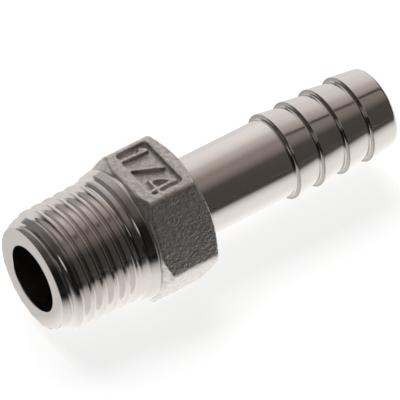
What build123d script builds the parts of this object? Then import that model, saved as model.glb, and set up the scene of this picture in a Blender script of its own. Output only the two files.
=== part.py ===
"""Hose barb tail: a male taper thread, a spanner hexagon and a barbed hose tail in one piece.

Millimetres. The bore's axis is X: the thread's end face is at x = 0 and the hose end is at
the far +X end. +Z points out of the hexagon flat that carries the size panel.
"""

import os
from math import atan, cos, degrees, hypot, isclose, radians, sin, tan

from build123d import *

# Male taper thread, R 1/4 to ISO 7-1
thread_pitch = 1.337
thread_taper = 1 / 16  # of the diameter, per length
gauge_diameter = 13.157  # basic major diameter at the gauge plane
gauge_length = 6.0  # end face to gauge plane
crest_cut = 0.09  # crests turned back below the basic form
flank_angle = 27.5  # half of the 55 degree thread form
thread_length = 9.4  # end face to the foot of the collar
plain_length = 0.35  # ungrooved cone before the collar
groove_start_angle = 0.0  # round the axis from +Y
entry_diameter = 10.9  # outer edge of the end face
entry_angle = 25.0  # lead-in chamfer, from the axis

# Turned collar between the thread and the hexagon
collar_length = 1.35
collar_rise = 0.25  # height of its steep foot above the thread's crests
collar_foot_angle = 45.0  # from the axis
collar_diameter = 14.1  # at its rim
collar_edge_break = 0.12  # 45 degree chamfer of the rim, down to the hexagon

# Cast hexagon
across_flats = 14.2
hex_width = 6.7
hex_corner_radius = 0.45
hex_front_radius = 0.35  # where the flats roll over to the front
front_corner_drop = 1.2  # sharp corner of the hexagon down to the foot of the front bevel
front_bevel_angle = 56.0  # from the axis
back_corner_drop = 1.3  # the same on the hose side
back_bevel_angle = 60.0

# Size panel, sunk in the upper flat
panel_length = 3.55  # along the axis
panel_width = 6.3
panel_depth = 0.3
panel_corner_radius = 0.4
panel_setback = 1.7  # thread side of the hexagon to the panel
panel_offset = 0.35  # to the +Y side of the flat's middle

# Barbed tail
tail_length = 24.15  # hexagon to hose end
shank_diameter = 8.38
neck_radius = 0.35
barb_count = 4
barb_pitch = 3.03
barb_height = 0.5  # of the square step above the shank
tip_length = 3.33  # last crest to hose end
tip_diameter = 8.5
tip_radius = 0.5

# Bore, drilled from both ends
thread_bore_diameter = 7.2
thread_bore_depth = 13.0
tail_bore_diameter = 6.2
drill_point_angle = 118.0

# Derived places and radii
slope = thread_taper / 2
thread_depth = 0.640327 * thread_pitch
crest_radius = gauge_diameter / 2 - crest_cut - gauge_length * slope  # at the end face
root_radius = gauge_diameter / 2 - thread_depth - gauge_length * slope  # at the end face
thread_end_radius = crest_radius + thread_length * slope
hex_start = thread_length + collar_length
hex_end = hex_start + hex_width
hex_corner_reach = across_flats / 2 / cos(radians(30))
hex_front_bevel_radius = hex_corner_reach - front_corner_drop
hex_back_radius = hex_corner_reach - back_corner_drop
total_length = hex_end + tail_length
first_crest = total_length - tip_length - (barb_count - 1) * barb_pitch
shank_radius = shank_diameter / 2

# Cast hexagon: a rounded prism whose front edge rolls over, bevelled to a cone at both ends
front_bevel_length = front_corner_drop / tan(radians(front_bevel_angle))
back_bevel_length = back_corner_drop / tan(radians(back_bevel_angle))

with BuildPart() as hexagon:
    with BuildSketch(Plane.YZ.offset(hex_start)):
        RegularPolygon(across_flats / 2, side_count=6, major_radius=False)
        fillet(vertices(), hex_corner_radius)
    extrude(amount=hex_width)
    fillet(faces().sort_by(Axis.X)[0].edges(), hex_front_radius)
    with BuildSketch(Plane.XZ):
        with BuildLine():
            Polyline(
                (hex_start, 0),
                (hex_start, hex_front_bevel_radius),
                (hex_start + front_bevel_length, hex_corner_reach),
                (hex_end - back_bevel_length, hex_corner_reach),
                (hex_end, hex_back_radius),
                (hex_end, 0),
                close=True,
            )
        make_face()
    revolve(axis=Axis.X, mode=Mode.INTERSECT)

# Turned envelope: thread blank, collar, core of the hexagon, shank and barbs
entry_length = (crest_radius - entry_diameter / 2) / (tan(radians(entry_angle)) - slope)
collar_foot_radius = thread_end_radius + collar_rise
collar_foot_length = collar_rise / tan(radians(collar_foot_angle))
collar_seat_radius = collar_diameter / 2 - collar_edge_break
collar_end = hex_start + hex_front_radius  # sunk into the roll-over of the flats
hex_core_radius = shank_radius + 2 * neck_radius
barb_line = []
for barb in range(barb_count):
    crest_place = first_crest + barb * barb_pitch
    barb_line.append((crest_place, shank_radius))
    barb_line.append((crest_place, shank_radius + barb_height))

with BuildPart() as hose_barb_tail:
    with BuildSketch(Plane.XZ) as envelope:
        with BuildLine():
            Polyline(
                (0, 0),
                (0, entry_diameter / 2),
                (entry_length, crest_radius + entry_length * slope),
                (thread_length, thread_end_radius),
                (thread_length + collar_foot_length, collar_foot_radius),
                (hex_start - collar_edge_break, collar_diameter / 2),
                (hex_start, collar_seat_radius),
                (collar_end, collar_seat_radius),
                (collar_end, hex_core_radius),
                (hex_end, hex_core_radius),
                (hex_end, shank_radius),
                *barb_line,
                (total_length, tip_diameter / 2),
                (total_length, 0),
                close=True,
            )
        make_face()
        feet = [v for v in envelope.vertices() if isclose(v.Y, shank_radius, abs_tol=1e-6)]
        neck = min(feet, key=lambda foot: foot.X)
        tip = envelope.vertices().group_by(Axis.X)[-1].sort_by(Axis.Y)[-1]
        fillet(neck, neck_radius)
        fillet(tip, tip_radius)
    revolve(axis=Axis.X)

    add(hexagon.part)

    # Sunk panel on the upper flat
    panel_middle = hex_start + panel_setback + panel_length / 2
    with BuildSketch(Plane.XY.offset(across_flats / 2)):
        with Locations((panel_middle, panel_offset)):
            RectangleRounded(panel_length, panel_width, panel_corner_radius)
    extrude(amount=-panel_depth, mode=Mode.SUBTRACT)

    # Bore: the thread end's drill, its point, and the finer hole on to the hose end
    point_length = (thread_bore_diameter - tail_bore_diameter) / 2 / tan(radians(drill_point_angle / 2))
    with BuildSketch(Plane.XZ):
        with BuildLine():
            Polyline(
                (0, 0),
                (0, thread_bore_diameter / 2),
                (thread_bore_depth, thread_bore_diameter / 2),
                (thread_bore_depth + point_length, tail_bore_diameter / 2),
                (total_length, tail_bore_diameter / 2),
                (total_length, 0),
                close=True,
            )
        make_face()
    revolve(axis=Axis.X, mode=Mode.SUBTRACT)

# Path of the thread's groove: half turns on the taper, then a last turn that climbs out
half_pitch = thread_pitch / 2
runout_half_turns = 2
groove_entry = -0.75 * thread_pitch  # the path starts in front of the end face
groove_room = thread_length - plain_length - groove_entry
full_half_turns = int(groove_room / half_pitch) - runout_half_turns
runout_slope = 1.2 * (crest_radius - root_radius) / (runout_half_turns * half_pitch)

half_turns = []
groove_place = groove_entry
groove_angle = radians(groove_start_angle)
groove_radius = root_radius + groove_entry * slope
for step in range(full_half_turns + runout_half_turns):
    climb = slope if step < full_half_turns else runout_slope
    cone_angle = atan(climb)
    start_plane = Plane(
        origin=(groove_place, 0, 0),
        x_dir=(0, cos(groove_angle), sin(groove_angle)),
        z_dir=(1, 0, 0),
    )
    half_turns.append(
        start_plane
        * Helix(
            pitch=thread_pitch / cos(cone_angle),
            height=half_pitch,
            radius=groove_radius,
            cone_angle=degrees(cone_angle),
        )
    )
    groove_place += half_pitch
    groove_angle += radians(180)
    groove_radius += half_pitch * climb
groove_path = Wire([half_turn.edge() for half_turn in half_turns])

# The groove's section: a flat root between flanks that run on past the crests
groove_floor = thread_pitch / 6
groove_mouth = 0.96 * thread_pitch
groove_reach = (groove_mouth - groove_floor) / 2 / tan(radians(flank_angle))
outward = (0, cos(radians(groove_start_angle)), sin(radians(groove_start_angle)))
section_plane = Plane(origin=groove_path @ 0, x_dir=outward, z_dir=groove_path % 0)

with hose_barb_tail:
    with BuildSketch(section_plane):
        with BuildLine():
            Polyline(
                (0, -groove_floor / 2),
                (groove_reach, -groove_mouth / 2),
                (groove_reach, groove_mouth / 2),
                (0, groove_floor / 2),
                close=True,
            )
        make_face()
    core_line = Edge.make_line((groove_entry, 0, 0), (groove_place, 0, 0))
    sweep(path=groove_path, binormal=core_line, mode=Mode.SUBTRACT)

hose_barb_tail.part.label = "hose_barb_tail"

os.makedirs("parts", exist_ok=True)
export_step(hose_barb_tail.part, "parts/hose_barb_tail.step")
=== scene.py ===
"""Finish and light for a stainless steel hose tail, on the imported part. Sizes are in metres."""

import math

import bmesh
import bpy
from mathutils import Matrix, Vector, noise


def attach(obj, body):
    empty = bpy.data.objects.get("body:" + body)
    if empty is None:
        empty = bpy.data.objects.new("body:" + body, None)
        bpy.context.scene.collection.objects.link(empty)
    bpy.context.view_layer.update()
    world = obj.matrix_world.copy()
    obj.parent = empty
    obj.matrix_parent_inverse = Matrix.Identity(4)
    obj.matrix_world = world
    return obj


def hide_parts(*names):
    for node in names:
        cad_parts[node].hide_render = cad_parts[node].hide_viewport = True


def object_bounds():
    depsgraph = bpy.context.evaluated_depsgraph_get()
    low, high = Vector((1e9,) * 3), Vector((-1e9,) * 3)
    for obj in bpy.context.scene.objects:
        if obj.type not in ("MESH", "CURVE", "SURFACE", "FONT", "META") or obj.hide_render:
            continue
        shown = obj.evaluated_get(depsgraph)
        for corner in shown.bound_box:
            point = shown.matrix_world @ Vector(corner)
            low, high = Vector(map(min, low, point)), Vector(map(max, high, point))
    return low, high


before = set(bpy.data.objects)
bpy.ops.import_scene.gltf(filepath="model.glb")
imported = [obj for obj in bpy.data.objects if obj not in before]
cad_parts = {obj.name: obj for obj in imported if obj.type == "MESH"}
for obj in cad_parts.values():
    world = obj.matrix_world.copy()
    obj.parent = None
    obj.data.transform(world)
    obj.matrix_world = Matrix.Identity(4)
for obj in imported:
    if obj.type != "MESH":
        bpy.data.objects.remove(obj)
cad_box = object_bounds()
MM = 0.001

# --- Taper thread ------------------------------------------------------------------------
# The whole fitting is one stainless steel casting. Its thread is cut with a die on a turned
# taper: rounded roots, crests left a little flat, and a last turn that runs out.

AROUND = 240  # facets round the axis
PITCH = 1.337 * MM
TAPER = 1 / 32  # radius gained per length
CREST_RADIUS = 6.301 * MM  # at the end face, as is the next
ROOT_RADIUS = 5.535 * MM
THREAD_END = 9.4 * MM
ENTRY_RADIUS = 5.45 * MM
ENTRY_SLOPE = math.tan(math.radians(25))
ENTRY_REACH = 2.5 * MM  # the lead-in chamfer has run out before this
FLANK = math.tan(math.radians(27.5))
GROOVE_PHASE = -0.75  # pitches from the end face to a groove's middle, on the +Y side
FADE_START = 7.7 * MM
FADE_END = 8.85 * MM
FIRST_TURN, LAST_TURN = -2, 9
WELD = 0.002 * MM  # points of the spin closer than this are one
ON_PLANE = 0.0005 * MM
OFF_STEP = 0.05  # share of a step that a vertex of the spin may stray

depth = CREST_RADIUS - ROOT_RADIUS
root_half = PITCH / 12
top_half = root_half + depth * FLANK
half_section = (
    (root_half - 0.035 * MM, depth - 0.006 * MM),
    (root_half + 0.02 * MM, depth - 0.045 * MM),
    (root_half + 0.17 * depth, depth * 0.67),
    (top_half - 0.02 * MM, 0.05 * MM),
    (top_half + 0.008 * MM, 0.006 * MM),
    (top_half + 0.05 * MM, 0.0),
)
section = [(-along, below) for along, below in reversed(half_section)]
section += [(0.0, depth), *half_section]

body = bmesh.new()
cut = body.verts.layers.float.new("cut")
line = []
for turn in range(FIRST_TURN, LAST_TURN):
    for along, below in section:
        vert = body.verts.new(((GROOVE_PHASE + turn) * PITCH + along, CREST_RADIUS, 0))
        vert[cut] = below
        line.append(vert)
edges = [body.edges.new(pair) for pair in zip(line, line[1:])]
bmesh.ops.spin(
    body,
    geom=line + edges,
    cent=(0, 0, 0),
    axis=(1, 0, 0),
    dvec=(PITCH / AROUND, 0, 0),
    angle=math.tau,
    steps=AROUND,
)
bmesh.ops.remove_doubles(body, verts=body.verts, dist=WELD)
for vert in body.verts:
    fade = min(1.0, max(0.0, (FADE_END - vert.co.x) / (FADE_END - FADE_START)))
    radius = CREST_RADIUS + TAPER * vert.co.x - vert[cut] * fade
    if vert.co.x < ENTRY_REACH:
        radius = min(radius, ENTRY_RADIUS + ENTRY_SLOPE * vert.co.x)
    scale = radius / math.hypot(vert.co.y, vert.co.z)
    vert.co.y *= scale
    vert.co.z *= scale
for plane_x, outward in ((0.0, -1), (THREAD_END, 1)):
    bmesh.ops.bisect_plane(
        body,
        geom=body.verts[:] + body.edges[:] + body.faces[:],
        dist=ON_PLANE,
        plane_co=(plane_x, 0, 0),
        plane_no=(outward, 0, 0),
        clear_outer=True,
    )


def off_meridian(vert):
    """Whether a vertex lies between two of the spin's steps."""
    turns = math.atan2(vert.co.z, vert.co.y) / math.tau * AROUND
    return abs(turns - round(turns)) > OFF_STEP


strays = [vert for vert in body.verts if vert.is_boundary and off_meridian(vert)]
bmesh.ops.dissolve_verts(body, verts=strays)

# --- Turned collar, shank, barbs and bore -------------------------------------------------
# Turned in one setting with the thread's blank. The barbs are square steps with a tool
# radius at the foot, and both ends of the bore are drilled. The middle hides in the hexagon.

SHANK_RADIUS = 4.19 * MM
BARB_HEIGHT = 0.5 * MM
BARB_PITCH = 3.03 * MM
FIRST_BARB = 29.18 * MM
BARBS = 4
HEX_START = 10.75 * MM
HEX_END = 17.45 * MM
HOSE_END = 41.6 * MM
TIP_RADIUS = 4.25 * MM
THREAD_BORE = 3.6 * MM
TAIL_BORE = 3.1 * MM
TAIL_SLOPE = BARB_HEIGHT / BARB_PITCH  # a barb falls back to the shank over one pitch
TIP_SLOPE = 0.132  # and the last one, to the tip
COLLAR_FOOT = (9.65 * MM, 6.845 * MM)
COLLAR_RIM = (10.63 * MM, 7.05 * MM)
NEAR = 0.001 * MM


def rim(place, radius):
    """The ring edges that lie at this place and radius."""
    return [
        edge
        for edge in body.edges
        if all(
            abs(vert.co.x - place) < NEAR and abs(math.hypot(vert.co.y, vert.co.z) - radius) < NEAR
            for vert in edge.verts
        )
    ]


def round_edges(shape, edges, width, steps):
    """Rounds edges of a bmesh over this width, in this many steps."""
    bmesh.ops.bevel(
        shape,
        geom=edges,
        offset=width,
        segments=steps,
        profile=0.5,
        affect="EDGES",
        material=-1,
    )


def link_shape(name, shape):
    """An object in the scene that holds a bmesh's shape."""
    mesh = bpy.data.meshes.new(name)
    shape.to_mesh(mesh)
    shape.free()
    piece = bpy.data.objects.new(name, mesh)
    bpy.context.scene.collection.objects.link(piece)
    return piece


def add_values(tree, operation, *values):
    """The result of a math node on values that are each a socket or a number."""
    node = tree.nodes.new("ShaderNodeMath")
    node.operation = operation
    for socket, value in zip(node.inputs, values):
        if isinstance(value, bpy.types.NodeSocket):
            tree.links.new(value, socket)
        else:
            socket.default_value = value
    return node.outputs[0]


def add_noise(tree, place, size, detail, roughness):
    """A noise over a place, with grains of about this size."""
    node = tree.nodes.new("ShaderNodeTexNoise")
    node.inputs["Scale"].default_value = 1 / size
    node.inputs["Detail"].default_value = detail
    node.inputs["Roughness"].default_value = roughness
    tree.links.new(place, node.inputs["Vector"])
    return node.outputs["Fac"]


def add_range(tree, value, span, levels, smooth=False):
    """Takes a value over a span from one level to the other, and holds it level beyond."""
    node = tree.nodes.new("ShaderNodeMapRange")
    if smooth:
        node.interpolation_type = "SMOOTHSTEP"
    for label, number in zip(("From Min", "From Max", "To Min", "To Max"), (*span, *levels)):
        node.inputs[label].default_value = number
    tree.links.new(value, node.inputs["Value"])
    return node.outputs[0]


def add_ramp(tree, value, stops):
    """The colour at a value between stops of a position and a colour each."""
    node = tree.nodes.new("ShaderNodeValToRGB")
    elements = node.color_ramp.elements
    while len(elements) < len(stops):
        elements.new(0.5)
    for element, (position, colour) in zip(elements, stops):
        element.position = position
        element.color = (*colour, 1)
    tree.links.new(value, node.inputs["Fac"])
    return node.outputs["Color"]


def add_tint(tree, share, colour, tint):
    """A colour that gives way to a fixed tint as the share goes to 1."""
    node = tree.nodes.new("ShaderNodeMix")
    node.data_type = "RGBA"
    node.inputs["B"].default_value = (*tint, 1)
    tree.links.new(share, node.inputs["Factor"])
    tree.links.new(colour, node.inputs["A"])
    return node.outputs["Result"]


def bare_steel(name):
    """A metal material, with its node tree, its shader and its object coordinates."""
    paint = bpy.data.materials.new(name)
    paint.use_nodes = True
    tree = paint.node_tree
    steel = tree.nodes["Principled BSDF"]
    steel.inputs["Metallic"].default_value = 1.0
    place = tree.nodes.new("ShaderNodeTexCoord").outputs["Object"]
    return paint, tree, steel, place


def add_bump(tree, steel, height, strength, distance):
    """Gives a shader the relief of a height, without moving its surface."""
    node = tree.nodes.new("ShaderNodeBump")
    node.inputs["Strength"].default_value = strength
    node.inputs["Distance"].default_value = distance
    tree.links.new(height, node.inputs["Height"])
    tree.links.new(node.outputs[0], steel.inputs["Normal"])


# Each rounded edge has a plain ring close by, which keeps the shading of long faces straight.
profile = [
    COLLAR_FOOT,
    (9.85 * MM, 6.887 * MM),
    (10.45 * MM, 7.012 * MM),
    COLLAR_RIM,
    (HEX_START, 6.93 * MM),
    (11.1 * MM, 6.93 * MM),
    (11.1 * MM, 4.89 * MM),
    (17.3 * MM, 4.89 * MM),
    (17.42 * MM, 4.6 * MM),
    (HEX_END, SHANK_RADIUS),
    (HEX_END + 0.5 * MM, SHANK_RADIUS),
]
for barb in range(BARBS):
    step = FIRST_BARB + barb * BARB_PITCH
    slope = TAIL_SLOPE if barb else 0.0
    profile.append((step - 0.45 * MM, SHANK_RADIUS + 0.45 * MM * slope))
    profile.append((step, SHANK_RADIUS))
    profile.append((step, SHANK_RADIUS + BARB_HEIGHT))
    profile.append((step + 0.1 * MM, SHANK_RADIUS + BARB_HEIGHT - 0.1 * MM * TAIL_SLOPE))
profile += [
    (HOSE_END - 0.55 * MM, TIP_RADIUS + 0.55 * MM * TIP_SLOPE),
    (HOSE_END, TIP_RADIUS),
    (HOSE_END, TAIL_BORE),
    (HOSE_END - 0.2 * MM, TAIL_BORE),
    (13.5 * MM, TAIL_BORE),
    (13.3 * MM, TAIL_BORE),
    (13.0 * MM, THREAD_BORE),
    (12.8 * MM, THREAD_BORE),
    (0.2 * MM, THREAD_BORE),
    (0.0, THREAD_BORE),
]
ring = [edge for edge in body.edges if edge.is_boundary and edge.verts[0].co.x > THREAD_END / 2]
for place, radius in profile:
    grown = bmesh.ops.extrude_edge_only(body, edges=ring)["geom"]
    ring = [item for item in grown if isinstance(item, bmesh.types.BMEdge)]
    for vert in {vert for edge in ring for vert in edge.verts}:
        scale = radius / math.hypot(vert.co.y, vert.co.z)
        vert.co = (place, vert.co.y * scale, vert.co.z * scale)
bmesh.ops.bridge_loops(body, edges=[edge for edge in body.edges if edge.is_boundary])

barb_feet = [(FIRST_BARB + barb * BARB_PITCH, SHANK_RADIUS) for barb in range(BARBS)]
barb_crests = [(step, SHANK_RADIUS + BARB_HEIGHT) for step, _ in barb_feet]
ROUNDS = [
    (0.35 * MM, 6, [(HEX_END, SHANK_RADIUS)]),
    (0.35 * MM, 6, barb_feet),
    (0.05 * MM, 3, barb_crests),
    (0.45 * MM, 7, [(HOSE_END, TIP_RADIUS)]),
    (0.1 * MM, 3, [(HOSE_END, TAIL_BORE), (0.0, THREAD_BORE), (0.0, ENTRY_RADIUS)]),
    (0.12 * MM, 4, [COLLAR_FOOT, COLLAR_RIM]),
]
for width, steps, places in ROUNDS:
    round_edges(body, [edge for place in places for edge in rim(*place)], width, steps)
bmesh.ops.recalc_face_normals(body, faces=body.faces)
for edge in body.edges:
    edge.smooth = edge.calc_face_angle(0.0) < math.radians(32)
for face in body.faces:
    face.smooth = True
turned_body = link_shape("turned_body", body)
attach(turned_body, "root")
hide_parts("hose_barb_tail")
even = turned_body.modifiers.new("even", "WEIGHTED_NORMAL")
even.keep_sharp = True
even.weight = 100

# Fine rings from the lathe's feed, with the polish and the tone a little uneven
turned_steel, tree, steel, place = bare_steel("turned_steel")
split = tree.nodes.new("ShaderNodeSeparateXYZ")
tree.links.new(place, split.inputs[0])
along = split.outputs["X"]
across = tree.nodes.new("ShaderNodeCombineXYZ")
tree.links.new(split.outputs["Y"], across.inputs["Y"])
tree.links.new(split.outputs["Z"], across.inputs["Z"])
radial = tree.nodes.new("ShaderNodeVectorMath")
radial.operation = "LENGTH"
tree.links.new(across.outputs[0], radial.inputs[0])
rings = tree.nodes.new("ShaderNodeTexNoise")
rings.noise_dimensions = "1D"
rings.inputs["Scale"].default_value = 1 / (0.14 * MM)
rings.inputs["Detail"].default_value = 3.0
tree.links.new(add_values(tree, "ADD", along, radial.outputs["Value"]), rings.inputs["W"])
add_bump(tree, steel, rings.outputs["Fac"], 0.5, 0.004 * MM)
stain = add_noise(tree, place, 1.6 * MM, 5.0, 0.5)
tree.links.new(add_range(tree, stain, (0.0, 1.0), (0.07, 0.19)), steel.inputs["Roughness"])
specks = add_noise(tree, place, 0.35 * MM, 6.0, 0.75)
tone = add_ramp(tree, specks, ((0.28, (0.70, 0.67, 0.645)), (0.46, (0.76, 0.73, 0.71))))
# Painted shade: the base colour turns dark in the corner at the foot of each barb, at these shares
# of a pitch
FOOT_SHADE = (
    (0.03, (0, 0, 0)),
    (0.06, (1, 1, 1)),
    (0.101, (1, 1, 1)),
    (0.108, (0, 0, 0)),
)
FOOT_SHADE_START = FIRST_BARB - 0.3 * MM
FOOT_SHADE_END = HOSE_END - 1.5 * MM
from_foot = add_values(tree, "SUBTRACT", along, FOOT_SHADE_START)
in_pitch = add_values(tree, "MODULO", from_foot, BARB_PITCH)
pitch_share = add_values(tree, "DIVIDE", in_pitch, BARB_PITCH)
before_tip = add_values(tree, "LESS_THAN", along, FOOT_SHADE_END)
# Painted shade at the barb feet, blended into the base colour
painted_foot_shade = add_values(tree, "MULTIPLY", add_ramp(tree, pitch_share, FOOT_SHADE), before_tip)
tree.links.new(add_tint(tree, painted_foot_shade, tone, (0.44, 0.42, 0.40)), steel.inputs["Base Color"])
turned_body.data.materials.append(turned_steel)

# --- Cast hexagon -------------------------------------------------------------------------
# The same steel casting, left as cast and then blasted: a six-sided prism with rolled front
# edges, a cone at either end, and a sunk panel on the upper flat with its size raised in it.

FLAT = 7.1 * MM  # axis to a flat
HEX_WIDTH = HEX_END - HEX_START
CORNER_REACH = FLAT / math.cos(math.radians(30))
LETTER_TOP = 7.075 * MM
STROKE_HEIGHT = 0.6 * MM
STROKE_OVERLAP = 0.12  # millimetres, as are a stroke's points and width
GRAIN_SIZE = 0.24 * MM
SWELL_SIZE = 2.4 * MM
SKIN_DROP = 0.016  # millimetres below the sharp form, as are the next two
GRAIN_HEIGHT = 0.022
SWELL_HEIGHT = 0.010
LEAST_DROP = 0.001 * MM


def raise_stroke(shape, path, width):
    """Adds upright blocks of one width along a path of (x, y) points to a bmesh."""
    for (x0, y0), (x1, y1) in zip(path, path[1:]):
        block = bmesh.ops.create_cube(shape, size=1.0)["verts"]
        length = math.hypot(x1 - x0, y1 - y0) + STROKE_OVERLAP
        lie = Matrix.Rotation(math.atan2(y1 - y0, x1 - x0), 3, "Z")
        middle = ((x0 + x1) / 2 * MM, (y0 + y1) / 2 * MM, LETTER_TOP - STROKE_HEIGHT / 2)
        bmesh.ops.scale(shape, verts=block, vec=(length * MM, width * MM, STROKE_HEIGHT))
        bmesh.ops.rotate(shape, verts=block, matrix=lie)
        bmesh.ops.translate(shape, verts=block, vec=middle)


prism = bmesh.new()
hex_middle = Matrix.Translation(((HEX_START + HEX_END) / 2, 0, 0))
bmesh.ops.create_cone(
    prism,
    cap_ends=True,
    segments=6,
    radius1=CORNER_REACH,
    radius2=CORNER_REACH,
    depth=HEX_WIDTH,
    matrix=hex_middle @ Matrix.Rotation(math.radians(90), 4, "Y"),
)
long_edges = [e for e in prism.edges if abs(e.verts[0].co.x - e.verts[1].co.x) > HEX_WIDTH / 2]
round_edges(prism, long_edges, 0.4 * MM, 6)
front = HEX_START + 0.01 * MM
front_edges = [edge for edge in prism.edges if max(vert.co.x for vert in edge.verts) < front]
round_edges(prism, front_edges, 0.5 * MM, 6)
prism = link_shape("prism", prism)

envelope = bmesh.new()
outline = ((10.7, 4.4), (10.7, 6.924), (11.56, 8.198), (16.70, 8.198), (17.44, 6.915), (17.44, 4.4))
line = [envelope.verts.new((x * MM, radius * MM, 0)) for x, radius in outline]
edges = [envelope.edges.new(pair) for pair in zip(line, line[1:] + line[:1])]
bmesh.ops.spin(
    envelope,
    geom=line + edges,
    cent=(0, 0, 0),
    axis=(1, 0, 0),
    angle=math.tau,
    steps=160,
    use_merge=True,
)
bmesh.ops.recalc_face_normals(envelope, faces=envelope.faces)
envelope = link_shape("envelope", envelope)

panel = bmesh.new()
block = bmesh.ops.create_cube(panel, size=1.0)["verts"]
bmesh.ops.scale(panel, verts=block, vec=(3.55 * MM, 6.65 * MM, 1.0 * MM))
bmesh.ops.translate(panel, verts=block, vec=(14.225 * MM, 0.175 * MM, 7.15 * MM))
upright = [e for e in panel.edges if abs(e.verts[0].co.z - e.verts[1].co.z) > 0.5 * MM]
round_edges(panel, upright, 0.4 * MM, 6)
panel = link_shape("panel", panel)

for cutter, operation in ((panel, "DIFFERENCE"), (envelope, "INTERSECT")):
    boolean = prism.modifiers.new(operation.lower(), "BOOLEAN")
    boolean.operation = operation
    boolean.object = cutter
depsgraph = bpy.context.evaluated_depsgraph_get()
lump = bmesh.new()
lump.from_mesh(bpy.data.meshes.new_from_object(prism.evaluated_get(depsgraph)))
# A one, a slash and a four, read towards -Y with their tops towards +X
raise_stroke(lump, ((12.56, 2.57), (15.52, 2.41)), 0.45)
raise_stroke(lump, ((15.42, 2.50), (14.85, 2.98)), 0.38)
raise_stroke(lump, ((12.46, 1.10), (15.60, -0.48)), 0.45)
raise_stroke(lump, ((12.52, -2.58), (15.55, -2.58)), 0.42)
raise_stroke(lump, ((13.26, -1.15), (13.26, -3.15)), 0.38)
raise_stroke(lump, ((13.30, -1.22), (14.30, -1.62), (15.35, -2.55)), 0.36)
lump = link_shape("lump", lump)
remesh = lump.modifiers.new("grain", "REMESH")
remesh.mode = "VOXEL"
remesh.voxel_size = 0.095 * MM
soften = lump.modifiers.new("soften", "SMOOTH")
soften.factor = 0.5
soften.iterations = 1
depsgraph = bpy.context.evaluated_depsgraph_get()
cast = bmesh.new()
cast.from_mesh(bpy.data.meshes.new_from_object(lump.evaluated_get(depsgraph)))
for spare in (prism, envelope, panel, lump):
    bpy.data.objects.remove(spare, do_unlink=True)
cast.normal_update()
shifts = []
for vert in cast.verts:
    grain = noise.noise(vert.co / GRAIN_SIZE)
    swell = noise.noise(vert.co / SWELL_SIZE)
    shifts.append(-(SKIN_DROP + GRAIN_HEIGHT * grain + SWELL_HEIGHT * swell) * MM)
normals = [vert.normal.copy() for vert in cast.verts]
for vert, normal, shift in zip(cast.verts, normals, shifts):
    vert.co += normal * min(shift, -LEAST_DROP)
for face in cast.faces:
    face.smooth = True
cast_hexagon = link_shape("cast_hexagon", cast)
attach(cast_hexagon, "root")
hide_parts("hose_barb_tail")

# Pitted by the mould and the blasting, darker in patches
cast_steel, tree, steel, place = bare_steel("cast_steel")
pits = add_noise(tree, place, 0.16 * MM, 5.0, 0.6)
tree.links.new(add_range(tree, pits, (0.0, 1.0), (0.26, 0.44)), steel.inputs["Roughness"])
add_bump(tree, steel, pits, 0.9, 0.06 * MM)
skin = add_noise(tree, place, 0.45 * MM, 4.0, 0.7)
tone = add_ramp(tree, skin, ((0.32, (0.58, 0.55, 0.52)), (0.66, (0.90, 0.87, 0.84))))
tree.links.new(tone, steel.inputs["Base Color"])
cast_hexagon.data.materials.append(cast_steel)

# --- Camera ------------------------------------------------------------------------------
# A long lens on a stand, above and in front of the thread end, looking down at 46 degrees.

camera_data = bpy.data.cameras.new("camera")
camera_data.sensor_width = 36.0
camera_data.lens = 504.3
camera_data.clip_start = 0.01
camera_data.clip_end = 20.0
camera = bpy.data.objects.new("camera", camera_data)
bpy.context.scene.collection.objects.link(camera)
sight = Vector((0.39067, 0.57629, -0.71782)).normalized()
right = Vector((0.82152, -0.57008, -0.01057)).normalized()
up = right.cross(sight).normalized()
turn = Matrix((right, up, -sight)).transposed()
camera.matrix_world = Matrix.Translation(Vector((-198.584, -322.611, 401.024)) * MM) @ turn.to_4x4()
bpy.context.scene.camera = camera

# --- Stage and light ---------------------------------------------------------------------
# A white table, a soft light behind and above, and a dark room in front of the table's edge,
# which is what polished metal mirrors.

floor_shape = bmesh.new()
bmesh.ops.create_grid(floor_shape, x_segments=1, y_segments=1, size=3.0)
bmesh.ops.translate(floor_shape, verts=floor_shape.verts, vec=(0, 0, cad_box[0][2]))
floor = link_shape("floor", floor_shape)


def pick_shader(tree, ray, usual, special, target):
    """Sends one shader to a target socket, and another for one kind of ray."""
    mix = tree.nodes.new("ShaderNodeMixShader")
    tree.links.new(tree.nodes.new("ShaderNodeLightPath").outputs[ray], mix.inputs[0])
    tree.links.new(usual, mix.inputs[1])
    tree.links.new(special, mix.inputs[2])
    tree.links.new(mix.outputs[0], target)


floor_paint = bpy.data.materials.new("white_table")
floor_paint.use_nodes = True
tree = floor_paint.node_tree
tree.nodes.clear()
out = tree.nodes.new("ShaderNodeOutputMaterial")
diffuse = tree.nodes.new("ShaderNodeBsdfDiffuse")
diffuse.inputs["Color"].default_value = (0.32, 0.32, 0.32, 1)
glow = tree.nodes.new("ShaderNodeEmission")
glow.inputs["Color"].default_value = (1.0, 1.0, 1.0, 1)
glow.inputs["Strength"].default_value = 0.8
lit_table = tree.nodes.new("ShaderNodeAddShader")
tree.links.new(diffuse.outputs[0], lit_table.inputs[0])
tree.links.new(glow.outputs[0], lit_table.inputs[1])
split = tree.nodes.new("ShaderNodeSeparateXYZ")
tree.links.new(tree.nodes.new("ShaderNodeTexCoord").outputs["Object"], split.inputs[0])
# How the table looks in the metal, over TABLE_REACH from its front (0) to its back (1)
TABLE_REACH = (-50 * MM, 50 * MM)
TABLE = (
    (0.06, (0.070, 0.062, 0.056)),
    (0.36, (0.92, 0.89, 0.87)),
    (0.43, (1.00, 0.97, 0.95)),
    (0.46, (1.12, 1.09, 1.06)),
    (0.48, (1.12, 1.09, 1.06)),
    (0.51, (0.70, 0.67, 0.65)),
    (0.64, (0.70, 0.67, 0.65)),
    (0.80, (0.84, 0.80, 0.78)),
    (1.00, (0.84, 0.80, 0.78)),
)
depth_share = add_range(tree, split.outputs["Y"], TABLE_REACH, (0.0, 1.0))
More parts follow.
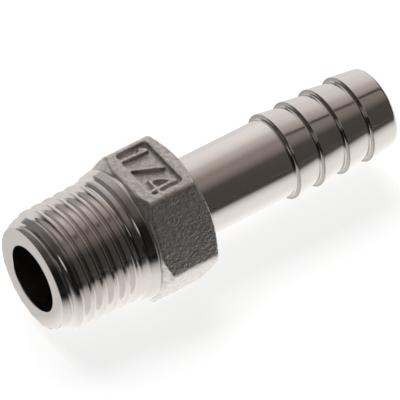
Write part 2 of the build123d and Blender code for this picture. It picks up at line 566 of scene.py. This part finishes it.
# The table fades into the dark on the thread's side, along a line askew to the axis
askew = add_values(tree, "MULTIPLY_ADD", split.outputs["Y"], 0.6, split.outputs["X"])
mirrored = tree.nodes.new("ShaderNodeEmission")
tree.links.new(add_ramp(tree, depth_share, TABLE), mirrored.inputs["Color"])
strength = add_range(tree, askew, (-36 * MM, 0.0), (0.07, 1.0), smooth=True)
tree.links.new(strength, mirrored.inputs["Strength"])
surface = out.inputs["Surface"]
pick_shader(tree, "Is Glossy Ray", lit_table.outputs[0], mirrored.outputs[0], surface)
floor.data.materials.append(floor_paint)


def dim_where(tree, share, level):
    """A factor that goes from 1 to a level as the share goes to 1."""
    node = tree.nodes.new("ShaderNodeMix")
    node.inputs["A"].default_value = 1.0
    tree.links.new(share, node.inputs["Factor"])
    tree.links.new(level, node.inputs["B"])
    return node.outputs[0]


world = bpy.data.worlds.new("studio")
bpy.context.scene.world = world
world.use_nodes = True
tree = world.node_tree
tree.nodes.clear()
out = tree.nodes.new("ShaderNodeOutputWorld")
sight_line = tree.nodes.new("ShaderNodeTexCoord").outputs["Generated"]
split = tree.nodes.new("ShaderNodeSeparateXYZ")
tree.links.new(sight_line, split.inputs[0])
along = split.outputs["X"]
swing = add_values(tree, "ARCTAN2", split.outputs["Z"], split.outputs["Y"])
# Degrees up from the back wall, over the top and down to the room in front
SKY = (
    (-30, (1.0, 1.0, 1.0)),
    (34, (1.0, 0.95, 0.93)),
    (50, (0.90, 0.83, 0.80)),
    (62, (0.68, 0.61, 0.58)),
    (75, (0.56, 0.49, 0.46)),
    (90, (0.33, 0.29, 0.265)),
    (110, (0.30, 0.262, 0.235)),
    (121, (0.21, 0.182, 0.163)),
    (132, (0.10, 0.087, 0.077)),
    (180, (0.085, 0.074, 0.066)),
)
SKY_START = -30
SKY_SPAN = 240
sky_reach = (math.radians(SKY_START), math.radians(SKY_START + SKY_SPAN))
swing_share = add_range(tree, swing, sky_reach, (0.0, 1.0))
sky_stops = [((degrees_up - SKY_START) / SKY_SPAN, colour) for degrees_up, colour in SKY]
open_sky = add_ramp(tree, swing_share, sky_stops)
# The room is dimmer beyond the hose end, with a dark batten across the ceiling
beyond = add_range(tree, along, (0.46, 0.60), (0.0, 1.0), smooth=True)
batten = add_values(tree, "COMPARE", swing, math.radians(89.5), math.radians(3.5))
far_side = dim_where(tree, beyond, add_range(tree, batten, (0.0, 1.0), (0.78, 0.15)))
far_end = add_range(tree, along, (0.76, 0.90), (1.0, 0.12), smooth=True)
# A grey cloth hangs over the thread's side of the room, darker in front than above
cloth_x = add_range(tree, along, (0.42, 0.30), (0.0, 1.0), smooth=True)
cloth_front = (math.radians(112), math.radians(140))
cloth_y = add_range(tree, swing, cloth_front, (0.0, 1.0), smooth=True)
near_side = dim_where(tree, cloth_x, add_range(tree, cloth_y, (0.0, 1.0), (0.5, 0.2)))
near_end = add_range(tree, along, (0.10, -0.15), (1.0, 0.4), smooth=True)
far_light = add_values(tree, "MULTIPLY", far_side, far_end)
near_light = add_values(tree, "MULTIPLY", near_side, near_end)
shaded = tree.nodes.new("ShaderNodeVectorMath")
shaded.operation = "SCALE"
tree.links.new(open_sky, shaded.inputs[0])
tree.links.new(add_values(tree, "MULTIPLY", far_light, near_light), shaded.inputs["Scale"])
# The dark end of the room, low down beyond the thread
endwise = add_range(tree, along, (-0.62, -0.80), (0.0, 1.0), smooth=True)
low = add_range(tree, split.outputs["Z"], (0.42, 0.26), (0.0, 1.0), smooth=True)
low_end = add_values(tree, "MULTIPLY", endwise, low)
room = add_tint(tree, low_end, shaded.outputs[0], (0.025, 0.022, 0.020))
# A window up beyond the thread, left of the camera
window = tree.nodes.new("ShaderNodeVectorMath")
window.operation = "DOT_PRODUCT"
window.inputs[1].default_value = Vector((-0.76, -0.42, 0.50)).normalized()
tree.links.new(sight_line, window.inputs[0])
pane = add_range(tree, window.outputs["Value"], (0.966, 0.986), (0.0, 1.0), smooth=True)
sky = tree.nodes.new("ShaderNodeBackground")
tree.links.new(add_tint(tree, pane, room, (0.62, 0.59, 0.57)), sky.inputs["Color"])
white = tree.nodes.new("ShaderNodeBackground")
white.inputs["Color"].default_value = (1, 1, 1, 1)
pick_shader(tree, "Is Camera Ray", sky.outputs[0], white.outputs[0], out.inputs["Surface"])

lamp_data = bpy.data.lights.new("soft_box", "AREA")
lamp_data.shape = "RECTANGLE"
lamp_data.size = 0.5
lamp_data.size_y = 0.35
lamp_data.energy = 3.0
lamp = bpy.data.objects.new("soft_box", lamp_data)
lamp.location = (0.05, 0.28, 0.45)
lamp.rotation_euler = (Vector((0.02, 0, 0)) - lamp.location).to_track_quat("-Z", "Y").to_euler()
lamp.visible_glossy = False
bpy.context.scene.collection.objects.link(lamp)

bpy.context.scene.view_settings.view_transform = "Standard"
